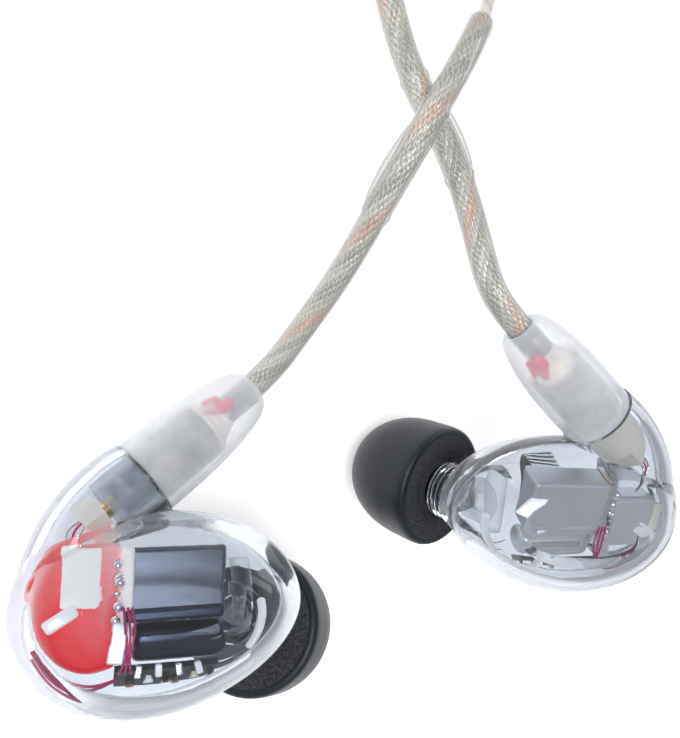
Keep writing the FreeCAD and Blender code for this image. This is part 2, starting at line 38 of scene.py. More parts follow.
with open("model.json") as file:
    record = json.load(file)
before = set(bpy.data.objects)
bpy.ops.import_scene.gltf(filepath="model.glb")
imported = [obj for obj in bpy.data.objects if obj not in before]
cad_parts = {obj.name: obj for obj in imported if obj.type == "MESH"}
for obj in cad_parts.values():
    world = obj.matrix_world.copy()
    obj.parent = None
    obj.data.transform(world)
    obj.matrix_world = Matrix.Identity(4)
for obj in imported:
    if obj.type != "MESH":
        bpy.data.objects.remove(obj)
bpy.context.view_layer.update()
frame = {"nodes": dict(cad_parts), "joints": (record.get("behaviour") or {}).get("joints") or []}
joints = {joint["name"]: joint for joint in frame["joints"]}


# ---------------------------------------------------------------- places

def mirrored(vector, hand):
    """A vector of the right earpiece's own frame, turned over for the left one."""
    return Vector((vector[0] * hand, vector[1], vector[2]))


def basis(first, second):
    """A right-handed frame that holds the first way and the plane of both."""
    across = first.cross(second).normalized()
    return Matrix((first, across, first.cross(across))).transposed()


def home_of(side):
    """The earpiece's own frame in the row frame: its two joint axes say how it lies."""
    hand = SIDES[side]
    swivel = joints[side + "_cable_swivel"]
    boot = Vector(swivel["axis"]).normalized()
    nozzle = Vector(joints[side + "_tip_removal"]["axis"]).normalized()
    boot_at_home = Vector((math.cos(BOOT_ANGLE) * hand, math.sin(BOOT_ANGLE), 0))
    turn = basis(boot, nozzle) @ basis(boot_at_home, mirrored(NOZZLE_WAY, hand)).transposed()
    origin = Vector(swivel["pos_m"]) - turn @ (mirrored(MOUTH, hand) * MM)
    return Matrix.Translation(origin) @ turn.to_4x4() @ Matrix.Diagonal((MM * hand, MM, MM, 1))


HOME = {side: home_of(side) for side in SIDES}


def axis_matrix(origin, way):
    """A frame whose Z runs along a way, in metres."""
    turn = Vector(way).to_track_quat("Z", "Y").to_matrix().to_4x4()
    return Matrix.Translation(origin) @ turn


def boot_frame(side):
    swivel = joints[side + "_cable_swivel"]
    return axis_matrix(Vector(swivel["pos_m"]), swivel["axis"]) @ Matrix.Scale(MM, 4)


def nozzle_frame(side):
    origin = HOME[side] @ NOZZLE_ROOT
    return axis_matrix(origin, joints[side + "_tip_removal"]["axis"]) @ Matrix.Scale(MM, 4)


# ---------------------------------------------------------------- camera

CAMERA_AT = Vector((-43.61, 28.73, 54.54)) * MM
CAMERA_RIGHT = Vector((0.7532, 0.2173, 0.6208)).normalized()
CAMERA_UP = Vector((0.0, 0.9438, -0.3304))
CAMERA_LENS = 34.15


def make_camera():
    """One camera, with no shift and no depth of field."""
    data = bpy.data.cameras.new("camera")
    data.lens = CAMERA_LENS
    data.sensor_width = 36
    data.clip_start = 0.001
    camera = bpy.data.objects.new("camera", data)
    bpy.context.scene.collection.objects.link(camera)
    back = CAMERA_RIGHT.cross(CAMERA_UP).normalized()
    up = back.cross(CAMERA_RIGHT)
    turn = Matrix((CAMERA_RIGHT, up, back)).transposed().to_4x4()
    camera.matrix_world = Matrix.Translation(CAMERA_AT) @ turn
    bpy.context.scene.camera = camera


make_camera()


# ---------------------------------------------------------------- cords

BRANCH_RADIUS, LEAD_RADIUS = 0.65, 1.0
BRANCH_LENGTH, LEAD_LENGTH = 0.34, 0.8  # metres, as the real cable
# Distances along the boot from the socket's mouth.
CABLE_START, BOOT_END, HOOK_START = 8.85, 12.4, 14.2
COIL_CENTRE = Vector((-10.0, 67.3, 0))
HOOK_ROUTES = {
    "right": [(-2.6, 14.7, 3.6), (-0.8, 19.8, 4.9), (-0.3, 24.6, 6.7), (0.0, 29.0, 8.3),
              (0.9, 33.1, 9.3), (2.2, 37.1, 9.6), (4.5, 41.1, 9.0), (7.4, 45.2, 7.4)],
    "left": [(6.5, 23.2, 16.8), (6.0, 26.0, 15.1), (6.0, 29.0, 12.9), (5.7, 32.1, 10.6),
             (4.8, 35.2, 8.2), (3.2, 38.3, 5.8), (1.7, 41.5, 4.0), (0.4, 44.9, 2.6)],
}
BRANCH_ROUTES = {
    "right": [(9.3, 48.3, 5.9), (10.4, 52.0, 4.2), (10.1, 56.1, 2.6), (8.8, 60.2, 1.6),
              (6.9, 64.2, 1.25)],
    "left": [(-0.7, 47.8, 1.7), (-1.3, 51.2, 1.3), (-0.9, 54.7, 1.25)],
}
SPLIT_WAY = Vector((-0.87, -0.5, 0)).normalized()
SPLIT_START = Vector((-28.4, 77.6, 2.1))
SPLITTER_LENGTH = 12.0
TAIL_MIDDLE = [(-10.7, 83.1, 2.5), (-14.6, 84.2, 2.4), (-18.9, 83.2, 2.18), (-23.55, 80.4, 2.12)]
TAIL_OFFSET = 0.8
LEAD_IN_ROUTE = [(-41.6, 69.6, 1.8), (-44.0, 65.2, 1.4), (-44.1, 60.2, 1.2), (-42.2, 55.6, 1.15),
                 (-38.2, 52.5, 1.3), (-33.2, 51.4, 1.8), (-27.6, 51.4, 2.8), (-22.0, 51.8, 3.6),
                 (-16.3, 51.9, 4.2)]
LEAD_OUT_ROUTE = [(-1.4, 54.3, 10.0), (3.2, 56.1, 8.6), (7.4, 58.7, 6.4), (11.0, 62.1, 4.3),
                  (13.9, 65.9, 3.2)]
TURN_POINTS = 16
CLIMB_START = 0.9  # the share of a row after which the turn climbs to the next
BRANCH_COIL_END, BRANCH_ROWS, BRANCH_LOW, BRANCH_RISE = 3 * 360 + 75, 2, 1.25, 1.3
BRANCH_TURNS = {"right": (4, 15.1, 10.9), "left": (-40, 13.9, 9.6)}  # start, outer and inner radius
LEAD_COIL_START, LEAD_COIL_SWEEP, LEAD_ROWS, LEAD_LOW, LEAD_RISE = 268, 9 * 360 + 17, 4, 4.3, 2.0
LEAD_OUTER, LEAD_INNER = 14.85, 10.2


def coil_turns(start_angle, end_angle, outer, inner, rows, low, rise):
    """Turns that run inwards on the first row, outwards on the next, each row above the last."""
    count = round((end_angle - start_angle) / 360 * TURN_POINTS)
    points = []
    for i in range(count + 1):
        share = i / count * rows
        row = min(int(share), rows - 1)
        across = share - row if row % 2 == 0 else row + 1 - share
        climb = (share - row - CLIMB_START) / (1 - CLIMB_START) if row < rows - 1 else 0.0
        climb = max(0.0, min(1.0, climb))
        radius = outer + (inner - outer) * across
        angle = math.radians(start_angle + (end_angle - start_angle) * i / count)
        spoke = Vector((math.cos(angle), math.sin(angle), 0)) * radius
        points.append(COIL_CENTRE + spoke + Vector((0, 0, low + rise * (row + climb))))
    return points


def branch_points(side):
    """One ear's cable from inside the boot to the splitter."""
    mouth = boot_frame(side)
    inside, outside = mouth @ Vector((0, 0, CABLE_START)), mouth @ Vector((0, 0, HOOK_START))
    points = [inside / MM, outside / MM]
    points += [Vector(point) for point in HOOK_ROUTES[side] + BRANCH_ROUTES[side]]
    across = Vector((-SPLIT_WAY.y, SPLIT_WAY.x, 0)) * TAIL_OFFSET
    start, outer, inner = BRANCH_TURNS[side]
    points += coil_turns(start, BRANCH_COIL_END, outer, inner, BRANCH_ROWS, BRANCH_LOW, BRANCH_RISE)
    offset = -across if side == "right" else across
    points += [Vector(point) + offset for point in TAIL_MIDDLE]
    return points + [SPLIT_START + offset, SPLIT_START + offset + SPLIT_WAY]


def lead_points():
    """The lead from inside the splitter, round the coil, to the plug."""
    points = [SPLIT_START + SPLIT_WAY * reach for reach in (SPLITTER_LENGTH - 1.0, SPLITTER_LENGTH)]
    points += [Vector(point) for point in LEAD_IN_ROUTE]
    points += coil_turns(LEAD_COIL_START, LEAD_COIL_START + LEAD_COIL_SWEEP, LEAD_OUTER, LEAD_INNER,
                         LEAD_ROWS, LEAD_LOW, LEAD_RISE)
    return points + [Vector(point) for point in LEAD_OUT_ROUTE]


# A curve's bounds reach this far past its points, in metres, so it is kept small, with a larger bevel.
POINT_RADIUS = 0.002


def cord_curve(name, points, radius):
    """One smooth open spline through the control points, given in millimetres."""
    curve = bpy.data.curves.new(name, "CURVE")
    curve.dimensions = "3D"
    spline = curve.splines.new("NURBS")
    spline.points.add(len(points) - 1)
    for place, point in zip(spline.points, points):
        place.co = (*(point * MM), 1)
        place.radius = POINT_RADIUS
    spline.order_u = 3
    spline.use_endpoint_u = True
    curve.resolution_u = 6
    curve.bevel_depth = radius * MM / POINT_RADIUS
    curve.bevel_resolution = 4
    curve.use_fill_caps = True
    cord = bpy.data.objects.new(name, curve)
    bpy.context.scene.collection.objects.link(cord)
    return cord


branch_cords = {side: cord_curve(side + "_cord", branch_points(side), BRANCH_RADIUS) for side in SIDES}
lead_cord = cord_curve("lead_cord", lead_points(), LEAD_RADIUS)
for side, cord in branch_cords.items():
    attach(cord, "root")
    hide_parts(side + "_hook_cable", side + "_branch_cable", "branch_tails", "branch_coil")
    boot_frame(side) @ Vector((0, 0, BOOT_END))
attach(lead_cord, "root")
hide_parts("lead_cable", "lead_coil")


# ---------------------------------------------------------------- materials

def material(name, color, roughness=0.5, metallic=0.0, **sockets):
    """A Principled material; sockets are given as their names with _ for a space."""
    made = bpy.data.materials.new(name)
    made.use_nodes = True
    shader = made.node_tree.nodes["Principled BSDF"]
    shader.inputs["Base Color"].default_value = (*color, 1)
    shader.inputs["Roughness"].default_value = roughness
    shader.inputs["Metallic"].default_value = metallic
    for socket, value in sockets.items():
        shader.inputs[socket.replace("_", " ")].default_value = value
    return made


def shader_of(made):
    return made.node_tree.nodes["Principled BSDF"]


def noise(made, scale, detail=3.0, stretch=(1, 1, 1)):
    """Noise in the row frame, scale given per millimetre."""
    nodes, links = made.node_tree.nodes, made.node_tree.links
    where = nodes.new("ShaderNodeTexCoord")
    mapping = nodes.new("ShaderNodeMapping")
    mapping.inputs["Scale"].default_value = stretch
    texture = nodes.new("ShaderNodeTexNoise")
    texture.inputs["Scale"].default_value = scale / MM
    texture.inputs["Detail"].default_value = detail
    links.new(where.outputs["Object"], mapping.inputs["Vector"])
    links.new(mapping.outputs["Vector"], texture.inputs["Vector"])
    return texture.outputs["Fac"]


def bumped(made, height, strength, distance):
    """Adds a bump from a height, its distance in millimetres."""
    nodes, links = made.node_tree.nodes, made.node_tree.links
    bump = nodes.new("ShaderNodeBump")
    bump.inputs["Strength"].default_value = strength
    bump.inputs["Distance"].default_value = distance * MM
    links.new(height, bump.inputs["Height"])
    links.new(bump.outputs["Normal"], shader_of(made).inputs["Normal"])
    return made


def set_stops(ramp, stops):
    """Gives a colour ramp its (place, colour) stops."""
    while len(ramp.elements) < len(stops):
        ramp.elements.new(0.5)
    for element, (place, color) in zip(ramp.elements, stops):
        element.position = place
        element.color = (*color, 1)


def ramped(made, factor, stops):
    """Takes the base colour from a ramp over a factor."""
    nodes, links = made.node_tree.nodes, made.node_tree.links
    ramp = nodes.new("ShaderNodeValToRGB")
    set_stops(ramp.color_ramp, stops)
    links.new(factor, ramp.inputs["Fac"])
    links.new(ramp.outputs["Color"], shader_of(made).inputs["Base Color"])
    return made


def veiled(made, middle, edge, cloud=0.0):
    """Mixes the shader with clear, more solid where the surface turns away, and unevenly if cloudy."""
    nodes, links = made.node_tree.nodes, made.node_tree.links
    weight = nodes.new("ShaderNodeLayerWeight")
    weight.inputs["Blend"].default_value = 0.5
    share = nodes.new("ShaderNodeMapRange")
    share.inputs["To Min"].default_value = middle
    share.inputs["To Max"].default_value = edge
    clear = nodes.new("ShaderNodeBsdfTransparent")
    mix = nodes.new("ShaderNodeMixShader")
    links.new(weight.outputs["Facing"], share.inputs["Value"])
    patches = nodes.new("ShaderNodeMath")
    patches.operation = "MULTIPLY_ADD"
    patches.use_clamp = True
    patches.inputs[1].default_value = cloud
    links.new(noise(made, 0.35, 2.0), patches.inputs[0])
    links.new(share.outputs["Result"], patches.inputs[2])
    links.new(patches.outputs["Value"], mix.inputs["Fac"])
    links.new(clear.outputs["BSDF"], mix.inputs[1])
    links.new(shader_of(made).outputs["BSDF"], mix.inputs[2])
    links.new(mix.outputs["Shader"], nodes["Material Output"].inputs["Surface"])
    return made


def tinted(made):
    """Takes the base and emission colours from the mesh's own Tint attribute, so the part glows in its own
    colour: painted light.
    """
    nodes, links = made.node_tree.nodes, made.node_tree.links
    tint = nodes.new("ShaderNodeAttribute")
    tint.attribute_name = "Tint"
    links.new(tint.outputs["Color"], shader_of(made).inputs["Base Color"])
    links.new(tint.outputs["Color"], shader_of(made).inputs["Emission Color"])
    return made


def glass(name, color, ior):
    return material(name, color, 0.0, Transmission_Weight=1.0, IOR=ior)


def milky_rim(made, color, middle, edge):
    """Mixes clear moulding with a pale body that gathers where the surface turns away."""
    nodes, links = made.node_tree.nodes, made.node_tree.links
    weight = nodes.new("ShaderNodeLayerWeight")
    weight.inputs["Blend"].default_value = 0.4
    share = nodes.new("ShaderNodeMapRange")
    share.inputs["To Min"].default_value = middle
    share.inputs["To Max"].default_value = edge
    steep = nodes.new("ShaderNodeMath")
    steep.operation = "POWER"
    steep.inputs[1].default_value = 2.2
    body = nodes.new("ShaderNodeBsdfDiffuse")
    body.inputs["Color"].default_value = (*color, 1)
    mix = nodes.new("ShaderNodeMixShader")
    links.new(weight.outputs["Facing"], steep.inputs[0])
    links.new(steep.outputs["Value"], share.inputs["Value"])
    links.new(share.outputs["Result"], mix.inputs["Fac"])
    links.new(shader_of(made).outputs["BSDF"], mix.inputs[1])
    links.new(body.outputs["BSDF"], mix.inputs[2])
    links.new(mix.outputs["Shader"], nodes["Material Output"].inputs["Surface"])
    return made


def foam_material():
    """The tip's moulded skin, nearly smooth."""
    made = material("foam", (0.004, 0.008, 0.015), 0.4, Sheen_Weight=0.05, Sheen_Roughness=0.35)
    shader_of(made).inputs["Sheen Tint"].default_value = (0.55, 0.65, 0.8, 1)
    return bumped(made, noise(made, 6.0, 5.0), 0.35, 0.12)


def foam_face_material():
    """The tip's cut back, with its open grain."""
    made = material("foam_face", (0.03, 0.032, 0.036), 0.85)
    grains = noise(made, 5.0, 6.0)
    ramped(made, grains, [(0.35, (0.012, 0.013, 0.015)), (0.7, (0.075, 0.08, 0.088))])
    return bumped(made, grains, 0.8, 0.2)


def strand_material(name, dark, light):
    """Fine twisted wires: narrow streaks along the strand's own length."""
    made = material(name, light, 0.36, 0.35)
    nodes, links = made.node_tree.nodes, made.node_tree.links
    where = nodes.new("ShaderNodeUVMap")
    where.uv_map = "Along"
    wave = nodes.new("ShaderNodeTexWave")
    wave.wave_type = "BANDS"
    wave.bands_direction = "DIAGONAL"
    wave.inputs["Scale"].default_value = 2.6
    wave.inputs["Distortion"].default_value = 7.0
    wave.inputs["Detail"].default_value = 4.0
    links.new(where.outputs["UV"], wave.inputs["Vector"])
    ramped(made, wave.outputs["Fac"], [(0.15, dark), (0.75, light)])
    return bumped(made, wave.outputs["Fac"], 0.5, 0.08)


def jacket_material(name, length):
    """Clear jacket over a twisted bundle, on a cord of a length in millimetres.

    The stripes wind round the cord once in each lay of the strands.
    """
    made = material(name, (0.8, 0.77, 0.7), 0.22, Coat_Weight=0.8)
    nodes, links = made.node_tree.nodes, made.node_tree.links
    where = nodes.new("ShaderNodeTexCoord")
    split = nodes.new("ShaderNodeSeparateXYZ")
    wound = nodes.new("ShaderNodeMath")
    wound.operation = "MULTIPLY_ADD"
    wound.inputs[1].default_value = length / JACKET_LAY
    turned = nodes.new("ShaderNodeMath")
    turned.operation = "FRACT"
    links.new(where.outputs["UV"], split.inputs["Vector"])
    links.new(split.outputs["X"], wound.inputs[0])
    links.new(split.outputs["Y"], wound.inputs[2])
    links.new(wound.outputs["Value"], turned.inputs[0])
    light, grey, copper = (0.8, 0.775, 0.71), (0.6, 0.59, 0.54), (0.83, 0.7, 0.61)
    stripes = [(0.0, grey), (0.08, light), (0.28, light), (0.36, copper),
               (0.44, copper), (0.52, light), (0.82, light), (1.0, grey)]
    return ramped(made, turned.outputs["Value"], stripes)


def brushed(name, color, roughness):
    """Metal with fine marks along one way."""
    made = material(name, color, roughness, 1.0)
    return bumped(made, noise(made, 1.2, 2.0, (1, 1, 9)), 0.12, 0.02)


SHELLS = {
    "right": milky_rim(glass("clear_shell", (0.82, 0.86, 0.91), 1.44), (0.82, 0.84, 0.9), 0.0, 0.42),
    "left": milky_rim(glass("clear_shell_grey", (0.76, 0.79, 0.84), 1.46), (0.82, 0.83, 0.88), 0.0, 0.42),
}
for shell in SHELLS.values():
    bumped(shell, noise(shell, 0.16, 0.0), 0.3, 0.25)
CLEAR_PART = veiled(material("clear_part", (0.72, 0.75, 0.8), 0.08), 0.03, 0.5)
COLLAR = glass("clear_collar", (0.86, 0.88, 0.91), 1.45)
FOAM = foam_material()
FOAM_FACE = foam_face_material()
TIP_CORE = material("tip_core", (0.015, 0.016, 0.018), 0.5)
# The red cradle's emission is a painted glow: it lights the cradle though it is no lamp.
CRADLE_RED = tinted(material("red_cradle", (0.8, 0.02, 0.05), 0.2, Specular_IOR_Level=0.1,
                             Emission_Strength=0.3))
CRADLE_CLEAR = glass("clear_cradle", (0.88, 0.9, 0.92), 1.4)
SLATE = brushed("driver_slate", (0.15, 0.165, 0.2), 0.38)
# Darker slate: the high driver's own colour, and painted shade on the mid driver's lower side.
SLATE_DARK = brushed("driver_slate_dark", (0.045, 0.052, 0.08), 0.3)
# A lighter slate for the strip along the high driver's can: a painted highlight.
SLATE_HIGHLIGHT = brushed("driver_slate_highlight", (0.3, 0.32, 0.38), 0.3)
STEEL = brushed("driver_steel", (0.74, 0.745, 0.76), 0.36)
BRIGHT = material("bright_steel", (0.86, 0.84, 0.8), 0.24, 1.0)
# The silver driver parts glow a little: painted light, they are no lamp.
SILVER = material("driver_silver", (0.74, 0.75, 0.77), 0.4, 0.55, Emission_Color=(0.74, 0.75, 0.78, 1),
                  Emission_Strength=0.1)
# The cream parts glow a little: painted light.
CREAM = material("cream_plastic", (0.86, 0.82, 0.72), 0.45, Emission_Color=(0.86, 0.81, 0.7, 1),
                 Emission_Strength=0.2)
# The pale plates glow a little: painted light.
PALE = material("pale_plate", (0.95, 0.92, 0.87), 0.35, Emission_Color=(0.95, 0.91, 0.86, 1),
                Emission_Strength=0.3)
# The white parts glow a little: painted light.
WHITE = material("white_clip", (0.95, 0.95, 0.96), 0.12, Coat_Weight=0.6,
                 Emission_Color=(0.95, 0.95, 0.97, 1), Emission_Strength=0.3)
SOLDER = material("solder", (0.9, 0.9, 0.92), 0.2, 1.0)
BOARD = material("board", (0.012, 0.013, 0.016), 0.3)
BLACK = material("black_plastic", (0.015, 0.016, 0.02), 0.28)
BROWN = material("capacitor", (0.33, 0.17, 0.11), 0.5)
GOLD = material("gold", (0.9, 0.68, 0.34), 0.22, 1.0)
GREY_METAL = material("connector_metal", (0.27, 0.255, 0.24), 0.4, 0.75)
MAGENTA = material("magenta_lead", (0.72, 0.02, 0.2), 0.3)
PINK = material("pink_insulation", (0.85, 0.06, 0.16), 0.45)
MESH = material("damper", (0.8, 0.8, 0.78), 0.8)
BOOT = veiled(material("milky_boot", (0.86, 0.87, 0.91), 0.26, Subsurface_Weight=0.3,
                       Subsurface_Scale=0.003), 0.08, 0.62, 0.42)
SLEEVE = veiled(material("clear_sleeve", (0.47, 0.47, 0.44), 0.08, Coat_Weight=1.0), 0.1, 1.0)
SMOKY_SOCKET = veiled(material("smoky_socket", (0.78, 0.82, 0.89), 0.15), 0.3, 0.6)
JACKET_LAY = 3.6
BRANCH_JACKET = jacket_material("branch_jacket", BRANCH_LENGTH / MM)
LEAD_JACKET = jacket_material("lead_jacket", LEAD_LENGTH / MM)
SMOKE = material("smoke_moulding", (0.33, 0.34, 0.37), 0.3, Coat_Weight=0.3)
STRAP = material("tie_strap", (0.03, 0.03, 0.035), 0.8)
bumped(STRAP, noise(STRAP, 3.0), 0.4, 0.1)
STRANDS = {
    "silver": strand_material("silver_wires", (0.58, 0.56, 0.5), (0.94, 0.92, 0.86)),
    "copper": strand_material("copper_wires", (0.68, 0.44, 0.35), (0.95, 0.78, 0.69)),
    "grey": strand_material("grey_wires", (0.4, 0.41, 0.36), (0.76, 0.76, 0.7)),
}


# ---------------------------------------------------------------- building

def mesh_object(name, vertices, faces, made, matrix=None, smooth=True):
    """A linked mesh with its faces turned outwards, moved by a matrix if there is one."""
    mesh = bpy.data.meshes.new(name)
    mesh.from_pydata([tuple(v) for v in vertices], [], faces)
    built = bmesh.new()
    built.from_mesh(mesh)
    if matrix is not None:
        built.transform(matrix)
    bmesh.ops.remove_doubles(built, verts=built.verts, dist=1e-7)
    bmesh.ops.recalc_face_normals(built, faces=built.faces)
    built.to_mesh(mesh)
    built.free()
    for face in mesh.polygons:
        face.use_smooth = smooth
    mesh.materials.append(made)
    piece = bpy.data.objects.new(name, mesh)
    bpy.context.scene.collection.objects.link(piece)
    return piece


def rounded(points, steps=5, closed=False):
    """A Catmull-Rom curve through the points; a point given twice keeps its corner."""
    points = [Vector(point) for point in points]
    count = len(points)
    out = []
    for i in range(count if closed else count - 1):
        if closed:
            a, b, c, d = (points[(i + k) % count] for k in (-1, 0, 1, 2))
        else:
            a, b = points[max(i - 1, 0)], points[i]
            c, d = points[i + 1], points[min(i + 2, count - 1)]
        if (c - b).length < 1e-9:
            continue
        for k in range(steps):
            t = k / steps
            out.append(0.5 * ((2 * b) + (c - a) * t + (2 * a - 5 * b + 4 * c - d) * t * t
                              + (3 * b - a - 3 * c + d) * t ** 3))
    if not closed:
        out.append(points[-1])
    return out


def lathe(name, profile, matrix, made, steps=5, closed=False, segments=64):
    """Spins a profile of (radius, height) points about Z."""
    curve = rounded(profile, steps, closed) if steps > 1 else [Vector(p) for p in profile]
    vertices, faces = [], []
    for k in range(segments):
        angle = 2 * math.pi * k / segments
        vertices += [(max(p[0], 0) * math.cos(angle), max(p[0], 0) * math.sin(angle), p[1])
                     for p in curve]
    count = len(curve)
    for k in range(segments):
        here, ahead = k * count, (k + 1) % segments * count
        for i in range(count if closed else count - 1):
            j = (i + 1) % count
            faces.append((here + i, ahead + i, ahead + j, here + j))
    return mesh_object(name, vertices, faces, made, matrix)


def softened(piece, width):
    """Rounds a piece's sharp edges, by a width in millimetres."""
    bevel = piece.modifiers.new("Edges", "BEVEL")
    bevel.width = width * MM
    bevel.segments = 3
    bevel.limit_method = "ANGLE"
    return piece


def prism(name, outline, low, high, matrix, made, edge=0.0):
    """An outline in XY given a thickness along Z."""
    count = len(outline)
    vertices = [(x, y, low) for x, y in outline] + [(x, y, high) for x, y in outline]
    faces = [tuple(range(count)), tuple(range(2 * count - 1, count - 1, -1))]
    faces += [(i, (i + 1) % count, count + (i + 1) % count, count + i) for i in range(count)]
    piece = mesh_object(name, vertices, faces, made, matrix, smooth=False)
    return softened(piece, edge) if edge else piece


def brick(name, size, centre, matrix, made, edge=0.0, spin=0.0, tilt=0.0):
    """A box of a size, centred, spun about Z and tilted about X, all in the frame of the matrix."""
    turn = Matrix.Rotation(math.radians(spin), 4, "Z") @ Matrix.Rotation(math.radians(tilt), 4, "X")
    half_x, half_y = size[0] / 2, size[1] / 2
    outline = [(-half_x, -half_y), (half_x, -half_y), (half_x, half_y), (-half_x, half_y)]
    frame_of = matrix @ Matrix.Translation(centre) @ turn
    return prism(name, outline, -size[2] / 2, size[2] / 2, frame_of, made, edge)


def joined(name, pieces):
    """Several meshes as one piece, with their materials."""
    with bpy.context.temp_override(active_object=pieces[0], selected_editable_objects=pieces):
        bpy.ops.object.join()
    pieces[0].name = name
    return pieces[0]


def route_line(cord):
    """The points of a cord's own spline, in metres."""
    bare = bpy.data.objects.new("bare", cord.data.copy())
    bare.data.bevel_depth = 0
    mesh = bpy.data.meshes.new_from_object(bare)
    line = [vertex.co.copy() for vertex in mesh.vertices]
    bpy.data.meshes.remove(mesh)
    bpy.data.objects.remove(bare)
    return line


def stretch_of(line, start, end, step):
    """Evenly spaced points from one distance to another along a line, all in millimetres."""
    out, travelled, target = [], 0.0, start
    for a, b in zip(line, line[1:]):
        run = (b - a).length / MM
        while run > 0 and target <= travelled + run and target <= end:
            out.append(a.lerp(b, (target - travelled) / run))
            target += step
        travelled += run
    return out


def frames_along(points):
    """Each point with its way and a pair of cross axes that don't twist."""
    ways = [(points[min(i + 1, len(points) - 1)] - points[max(i - 1, 0)]).normalized()
            for i in range(len(points))]
    side = ways[0].orthogonal().normalized()
    out = []
    for point, way in zip(points, ways):
        side = (side - way * side.dot(way)).normalized()
        out.append((point, way, side, way.cross(side)))
    return out


def swept(name, points, radius, made, segments=12):
    """A closed tube along points in metres; radius in millimetres, a number or one for each point."""
    radii = radius if isinstance(radius, list) else [radius] * len(points)
    vertices, faces = [], []
    for (point, _, side, up), size in zip(frames_along(points), radii):
        for k in range(segments):
            angle = 2 * math.pi * k / segments
            vertices.append(point + (side * math.cos(angle) + up * math.sin(angle)) * size * MM)
    rings = len(points)
    for i in range(rings - 1):
        for k in range(segments):
            j = (k + 1) % segments
            faces.append((i * segments + k, i * segments + j, (i + 1) * segments + j,
                          (i + 1) * segments + k))
    faces += [tuple(range(segments)), tuple(range((rings - 1) * segments, rings * segments))]
    piece = mesh_object(name, vertices, faces, made)
    uv = piece.data.uv_layers.new(name="Along")
    for face in piece.data.polygons:
        for loop in face.loop_indices:
            index = piece.data.loops[loop].vertex_index
            uv.data[loop].uv = (index % segments / segments, index // segments / segments)
    return piece


def wire(name, points, radius, made):
    """A thin bent wire through points in metres."""
    return swept(name, rounded(points, 6), radius, made, 8)


def finish_piece(piece, body, slot, *nodes):
    """Puts a piece on the body it rides on and hides the CAD nodes it stands for; the slot is not used."""
    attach(piece, body)
    if nodes:
        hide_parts(*nodes)


def dress(node, made):
    """Gives a CAD node its finish."""
    slots = frame["nodes"][node].data.materials
    slots.clear()
    slots.append(made)


# ---------------------------------------------------------------- ear tips

TIP_START = 5.6  # along the nozzle
OPEN_FACE_HEIGHT, OPEN_FACE_RADIUS = 1.1, 5.9  # what of the tip's back is cut foam
TIP_PROFILE = [(2.25, 8.9), (2.25, 1.1), (2.9, 0.8), (4.1, 0.4), (5.5, 0.15), (5.5, 0.15), (6.2, 0.1),
               (6.57, 0.35), (6.7, 1.0), (6.7, 2.6), (6.66, 4.3), (6.36, 6.3), (5.6, 8.2), (4.5, 9.7),
               (3.2, 10.65), (2.3, 10.95), (1.75, 10.8), (1.65, 10.3), (1.7, 9.2)]


def ear_tip(side):
    """The bullet of foam with a smooth skin and an open back, on its core."""
    at = nozzle_frame(side) @ Matrix.Translation((0, 0, TIP_START))
    tip = lathe(side + "_tip_foam", TIP_PROFILE, at, FOAM, closed=True, segments=96)
    tip.data.materials.append(FOAM_FACE)
    to_local = at.inverted()
    for face in tip.data.polygons:
        centre = to_local @ face.center
        if centre.z < OPEN_FACE_HEIGHT and math.hypot(centre.x, centre.y) < OPEN_FACE_RADIUS:
            face.material_index = 1
    finish_piece(tip, side + "_tip", "foam", side + "_foam_tip")
    dress(side + "_tip_core", TIP_CORE)


# ---------------------------------------------------------------- cables at the ear

# Distances along the cable from its end inside the boot.
WIRES_START, SLEEVE_START = 2.0, 2.5
HOOK_END = {"right": 44.8, "left": 39.0}
HOOK_STEPS = {"right": (24.0, 34.2), "left": (18.4, 28.4)}
HOOK_SAMPLE = 0.2
STRAND_PITCH, STRAND_OFFSET, STRAND_RADIUS, CORE_RADIUS = 11.0, 0.74, 0.32, 0.84
SLEEVE_RADIUS, RING_HEIGHT, RING_SPREAD, STEP_HEIGHT = 1.24, 0.13, 0.4, 0.08
SLEEVE_TAPER, TAPER_DEPTH = 0.5, 0.3
TUBE_SHIFT, TUBE_SAMPLE = 1.0, 0.25
TUBE_OFFSET, TUBE_BULGE = 0.5, 0.6
TUBE_END_RADIUS, TUBE_SWELL = 0.3, 0.36
BUNDLE = ["silver", "copper", "copper", "silver", "grey", "silver", "silver", "grey", "grey", "silver"]


def hook_wires(side, line):
    """The twisted bundle inside the clear sleeve."""
    centre = stretch_of(line, WIRES_START, HOOK_END[side] - HOOK_SAMPLE, HOOK_SAMPLE)
    frames = frames_along(centre)
    strands = []
    for k, color in enumerate(BUNDLE):
        points = []
        for i, (point, _, across, up) in enumerate(frames):
            angle = 2 * math.pi * (k / len(BUNDLE) + i * HOOK_SAMPLE / STRAND_PITCH)
            spoke = across * math.cos(angle) + up * math.sin(angle)
            points.append(point + spoke * STRAND_OFFSET * MM)
        strands.append(swept("strand_%d" % k, points, STRAND_RADIUS, STRANDS[color], 10))
    strands.append(swept("strand_core", centre, CORE_RADIUS, STRANDS["silver"], 8))
    finish_piece(joined(side + "_hook_wires", strands), "root", "clear_sleeve")


def hook_sleeve(side, line):
    """The clear sleeve, with a raised ring where each length of shrink tube ends."""
    end = HOOK_END[side]
    first, second = HOOK_STEPS[side]
    centre = stretch_of(line, SLEEVE_START, end, HOOK_SAMPLE)
    radii = []
    for i in range(len(centre)):
        along = SLEEVE_START + i * HOOK_SAMPLE
        radius = SLEEVE_RADIUS
        for start in (first, second):
            radius += RING_HEIGHT * math.exp(-((along - start) / RING_SPREAD) ** 2)
        if first < along < second:
            radius += STEP_HEIGHT
        left = end - along
        if left < SLEEVE_TAPER:
            radius -= TAPER_DEPTH * (1 - left / SLEEVE_TAPER) ** 2
        radii.append(radius)
    finish_piece(swept(side + "_hook_sleeve", centre, radii, SLEEVE, 28), "root", "clear_sleeve")


